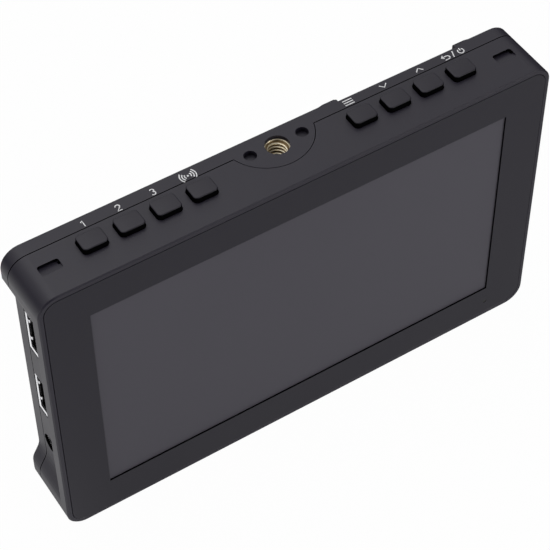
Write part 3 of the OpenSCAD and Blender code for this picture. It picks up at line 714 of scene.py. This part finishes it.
brass, sheet = new_material("turned_brass")
turned_rings = sheet.add("Mapping", {}, {"Vector": sheet.place(), "Scale": (0.2, 0.2, 1)})
cutting = sheet.noise(0.12, 3.0, turned_rings)
stain = sheet.noise(1.6, 3.0)
x, y, z = sheet.axes()
radius = from_line(x, y, (sum(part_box("top_insert"), Vector())/2).xy)
# Painted shade: the thread's grooves are darker
painted_groove_shade = band(radius, thread_crest + 0.28, thread_root + 0.02, 0.08)
tone = sheet.mix((cutting - 0.5)*0.5 + (stain - 0.5)*0.5 + 0.6, brass_dark, brass_light)
sheet.surface(sheet.add("BsdfPrincipled", {}, {
    "Base Color": sheet.mix(painted_groove_shade, tone, brass_groove_shade), "Metallic": 0.75,
    "Roughness": 0.36 + (stain - 0.5)*0.15, "Normal": sheet.bump(cutting, 0.01, 0.4)}))

bore = thread_crest - 0.3
bush = lathe([
    (bore, 0), (insert_body - insert_edge, 0), (insert_body, insert_edge),
    (insert_body, insert_long), (thread_crest + countersink, insert_long),
    (bore, insert_long - countersink - 0.3), (bore, 0)])
carve(bush, threaded_rod(-0.5, insert_long + 0.5, thread_crest, thread_root, thread_pitch))
bpy.ops.object.shade_smooth_by_angle(angle=math.radians(30))
for node, turn in (("top_insert", 0), ("bottom_insert", math.pi)):
    low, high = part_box(node)
    middle = (low + high)/2
    piece = copy_of(bush, (middle.x, middle.y, high.z if turn else low.z), (turn, 0, 0))
    finish(piece, node + "_brass", "monitor", brass)
    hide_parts(node)
bpy.data.objects.remove(bush)


# --- Screws ---
# Black zinc pan-head screws with a cross recess. Four hold the rear cover to the front half, and
# four hold the battery plate, all with their heads sunk in counterbores.
cross_wide = 0.42
cross_deep = 0.85
cross_share = 0.62
cross_taper = (0.45, 0.6)
screw_kinds = {
    "housing_screws": {"head": 2.2, "thick": 1.2, "shank": 1.1, "length": 9.0, "pitch": 0.8},
    "plate_screws": {"head": 1.8, "thick": 1.2, "shank": 0.9, "length": 4.9, "pitch": 0.7}}


def pan_screw(head, thick, shank, length, pitch):
    """A pan-head screw, in millimetres, its head's top at the origin and its tip along +Z"""
    tip = thick + length
    core = shank*0.8
    screw = lathe([
        (0, 0), (head*0.55, 0.02), (head*0.82, 0.14), (head*0.95, 0.38), (head, 0.72),
        (head, thick), (core, thick), (core, tip - 0.8), (0.1, tip), (0, tip)], steps=32)
    slot = block((0, 0, 0), (2*head*cross_share, cross_wide, 2*cross_deep))
    pick("FACE", lambda at, way: way.z > 0.9)
    bpy.ops.transform.resize(value=(*cross_taper, 1), center_override=(0, 0, cross_deep*mm))
    close()
    other_slot = joined([copy_of(slot, (0, 0, 0), (0, 0, math.pi/2))])
    carve(screw, slot)
    carve(screw, other_slot)
    ridge = threaded_rod(thick + 0.4, tip - 0.9, shank*0.72, shank, pitch)
    take(screw, ridge)
    bpy.ops.object.join()
    bpy.ops.object.shade_smooth_by_angle(angle=math.radians(40))
    return screw


black_zinc = plain("black_zinc", colour(40, 40, 44), colour(66, 66, 72), 0.5, 0.33, 1.0)
for node, sizes in screw_kinds.items():
    low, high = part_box(node)
    inset = mm*sizes["head"]
    screw = pan_screw(**sizes)
    screws = []
    for x in (low.x + inset, high.x - inset):
        for z in (low.z + inset, high.z - inset):
            screws.append(copy_of(screw, (x, high.y, z), (math.pi/2, 0.3*len(screws), 0)))
    bpy.data.objects.remove(screw)
    piece = joined(screws)
    finish(piece, node + "_black", "monitor", black_zinc)
    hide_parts(node)


# --- Video sockets ---
# Two full-size sockets with nickel-plated shells, in the recess of the left side. Each shell is one
# tube with two sloped corners, and flares at its mouth. Inside it, a black tongue carries gold
# contact strips on both faces, and sprung tabs press on the plug.
shell_skin = 0.45
shell_slope = 1.2
flare_deep = 0.25
flare_out = 0.05
flare_lip = 0.08
shade_and_dull_from = (0.5, 0.9)
lip_wide = (0.5, 0.4)
lip_patch = (0.50, 0.58)
strip_size = (6.6, 0.12, 0.45)
strip_pitch = 1.0
strip_middle = 3.6
strip_tip = (0.3, 0.6)
tab_size = (4.2, 0.22, 1.1)
tab_middle = 3.0
tab_apart = 3.6
tab_lean = 0.28
tab_hook = (0.5, 0.25)
tab_off_wall = 0.12
tab_edge = 0.08
nickel_light = colour(246, 246, 248)
nickel_grey = colour(222, 222, 226)
nickel_shaded = colour(34, 34, 36)
gold = plain("gold_plate", colour(226, 178, 88), colour(246, 208, 122), 0.4, 0.2, 1.0, relief=0.002)
black_plastic = moulded("socket_plastic", colour(5, 5, 6), colour(13, 13, 14), grain=0.2,
                        relief=0.006, rough=0.6, ior=1.2)
coat(black_plastic, "upper_video_tongue", "lower_video_tongue")

low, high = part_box("upper_video_tongue")
shell_low, shell_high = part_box("upper_video_shell")
mouth = Vector((shell_low.x, (low.y + high.y)/2, (low.z + high.z)/2))

shell_metal, sheet = new_material("shell_nickel")
spots = sheet.noise(0.5, 3.0)
x, y, z = sheet.axes()
# Painted shade: the shell goes dark and duller deeper than its mouth, and in random patches along
# its front wall
painted_shade_and_dull = x.ramp(*(shell_low.x + mm*v for v in shade_and_dull_from))
front_lip = y.ramp(*(shell_low.y + mm*v for v in lip_wide))
painted_shade_and_dull = painted_shade_and_dull.math("MAXIMUM", front_lip*sheet.noise(1.1, 1.0).ramp(*lip_patch))
tone = sheet.mix(painted_shade_and_dull, sheet.mix(spots, nickel_grey, nickel_light), nickel_shaded)
sheet.surface(sheet.add("BsdfPrincipled", {}, {
    "Base Color": tone, "Metallic": 1.0, "Roughness": (spots - 0.5)*0.15 + 0.2 + painted_shade_and_dull*0.3}))

size = [v/mm for v in shell_high - shell_low]
tube = block((shell_low + shell_high)/2 - mouth, size)
pick("EDGE", lambda at, way: abs(way.x) > 0.9 and at.y < 0)
bpy.ops.mesh.bevel(offset=shell_slope*mm, segments=1, affect="EDGES")
pick("FACE", lambda at, way: way.x < -0.9)
bpy.ops.mesh.inset(thickness=flare_lip*mm, depth=0)
bpy.ops.mesh.extrude_region_move(TRANSFORM_OT_translate={"value": (flare_deep*mm, 0, 0)})
narrow = [(v - 2*shell_skin)/(v - 2*flare_lip) for v in size[1:]]
bpy.ops.transform.resize(value=(1, *narrow), center_override=(0, 0, 0))
bore_long = size[0] - shell_skin - flare_deep
bpy.ops.mesh.extrude_region_move(TRANSFORM_OT_translate={"value": (bore_long*mm, 0, 0)})
pick("FACE", lambda at, way: way.x < -0.9 and at.x < 0.01*mm)
wide = [(v + 2*flare_out)/v for v in size[1:]]
bpy.ops.transform.resize(value=(1, *wide), center_override=(0, 0, 0))
close()

strip = block((0, 0, 0), strip_size)
pick("FACE", lambda at, way: way.x < -0.9)
bpy.ops.transform.resize(value=(1, *strip_tip), center_override=(0, -strip_size[1]*mm/2, 0))
close()
strips = []
for count, side in ((10, 1), (9, -1)):
    y = (high.y - low.y + strip_size[1]*mm)/2*side
    for i in range(count):
        z = mm*strip_pitch*(i - (count - 1)/2)
        place = (low.x - mouth.x + mm*strip_middle, y, z)
        strips.append(copy_of(strip, place, (0 if side > 0 else math.pi, 0, 0)))
bpy.data.objects.remove(strip)
contacts = joined(strips)

tab = block((0, 0, 0), tab_size)
pick("FACE", lambda at, way: way.x < -0.9)
bpy.ops.transform.translate(value=(0, -mm*tab_lean, 0))
bpy.ops.mesh.extrude_region_move(
    TRANSFORM_OT_translate={"value": (-mm*tab_hook[0], mm*tab_hook[1], 0)})
pick("EDGE", lambda at, way: abs(way.y) > 0.5)
bpy.ops.mesh.bevel(offset=tab_edge*mm, segments=2, affect="EDGES")
close()
tabs = []
for side, wall in ((1, shell_high.y), (-1, shell_low.y)):
    y = wall - mouth.y - mm*side*(shell_skin + tab_off_wall)
    for way in (1, -1):
        place = (mm*tab_middle, y, mm*way*tab_apart)
        tabs.append(copy_of(tab, place, (0 if side > 0 else math.pi, 0, 0)))
bpy.data.objects.remove(tab)
springs = joined(tabs)

for level in ("upper", "lower"):
    low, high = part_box(level + "_video_tongue")
    shell_low, shell_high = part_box(level + "_video_shell")
    mouth = Vector((shell_low.x, (low.y + high.y)/2, (low.z + high.z)/2))
    shell = copy_of(tube, mouth)
    finish(shell, level + "_video_tube", "monitor", shell_metal)
    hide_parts(level + "_video_shell")
    finish(copy_of(contacts, mouth), level + "_video_contacts", "monitor", gold)
    finish(copy_of(springs, mouth), level + "_video_tabs", "monitor", shell_metal)
for master in (tube, contacts, springs):
    bpy.data.objects.remove(master)


# --- Headphone jack, power inlet and service port ---
# The jack has a bright collar in the left recess. The power inlet and the small data port for
# updates sit in the right recess, all in black insulators.
coat(black_plastic, "headphone_jack", "power_inlet", "service_tongue")
coat(nickel, "headphone_collar", "service_port")


# --- Battery plate ---
# A plate screwed into the back, whose hooks and gold blades take a slide-on camcorder battery.
# Its press latch has three ribs for the thumb, and stands on a steel spring of three turns.
spring_wire = 0.25
spring_turns = 3
rib_size = (9.0, 0.5, 0.6)
rib_edge = 0.18
rib_pitch = 1.1
rib_first = 2.0
rib_out = 3.1
plate_plastic = moulded("plate_plastic", colour(42, 41, 46), colour(58, 57, 62))
latch_plastic = moulded("latch_plastic", colour(24, 24, 26), colour(40, 40, 43), grain=0.2)
spring_steel = plain("spring_wire", colour(150, 152, 156), colour(190, 191, 194), 0.3, 0.3, 1.0)
coat(plate_plastic, "battery_plate")
coat(gold, "battery_contacts")
coat(latch_plastic, "battery_latch")

low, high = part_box("latch_spring")
middle = (low + high)/2
spring_long = (high.y - low.y)/mm
spring_coil = (high.x - low.x)/mm/2 - spring_wire
rise = (spring_long - 2*spring_wire)/spring_turns
coil = wound(arc(spring_coil, 0, spring_wire, 0, 360, 8), rise, spring_turns, 24)
bpy.ops.mesh.fill_holes(sides=0)
bpy.ops.mesh.normals_make_consistent(inside=False)
close()
coil.rotation_euler.x = -math.pi/2
coil.location = (middle.x, low.y + spring_wire*mm, middle.z)
finish(coil, "latch_spring_wire", "monitor", spring_steel)
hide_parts("latch_spring")
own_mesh(coil)

low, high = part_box("battery_latch")
rib = block((0, 0, 0), rib_size)
pick("EDGE", lambda at, way: abs(way.x) > 0.9)
bpy.ops.mesh.bevel(offset=rib_edge*mm, segments=3, affect="EDGES")
close()
ribs = []
for i in range(3):
    z = high.z - mm*(rib_first + rib_pitch*i)
    ribs.append(copy_of(rib, ((low.x + high.x)/2, low.y + mm*rib_out, z)))
bpy.data.objects.remove(rib)
finish(joined(ribs), "latch_ribs", "battery_latch", latch_plastic)
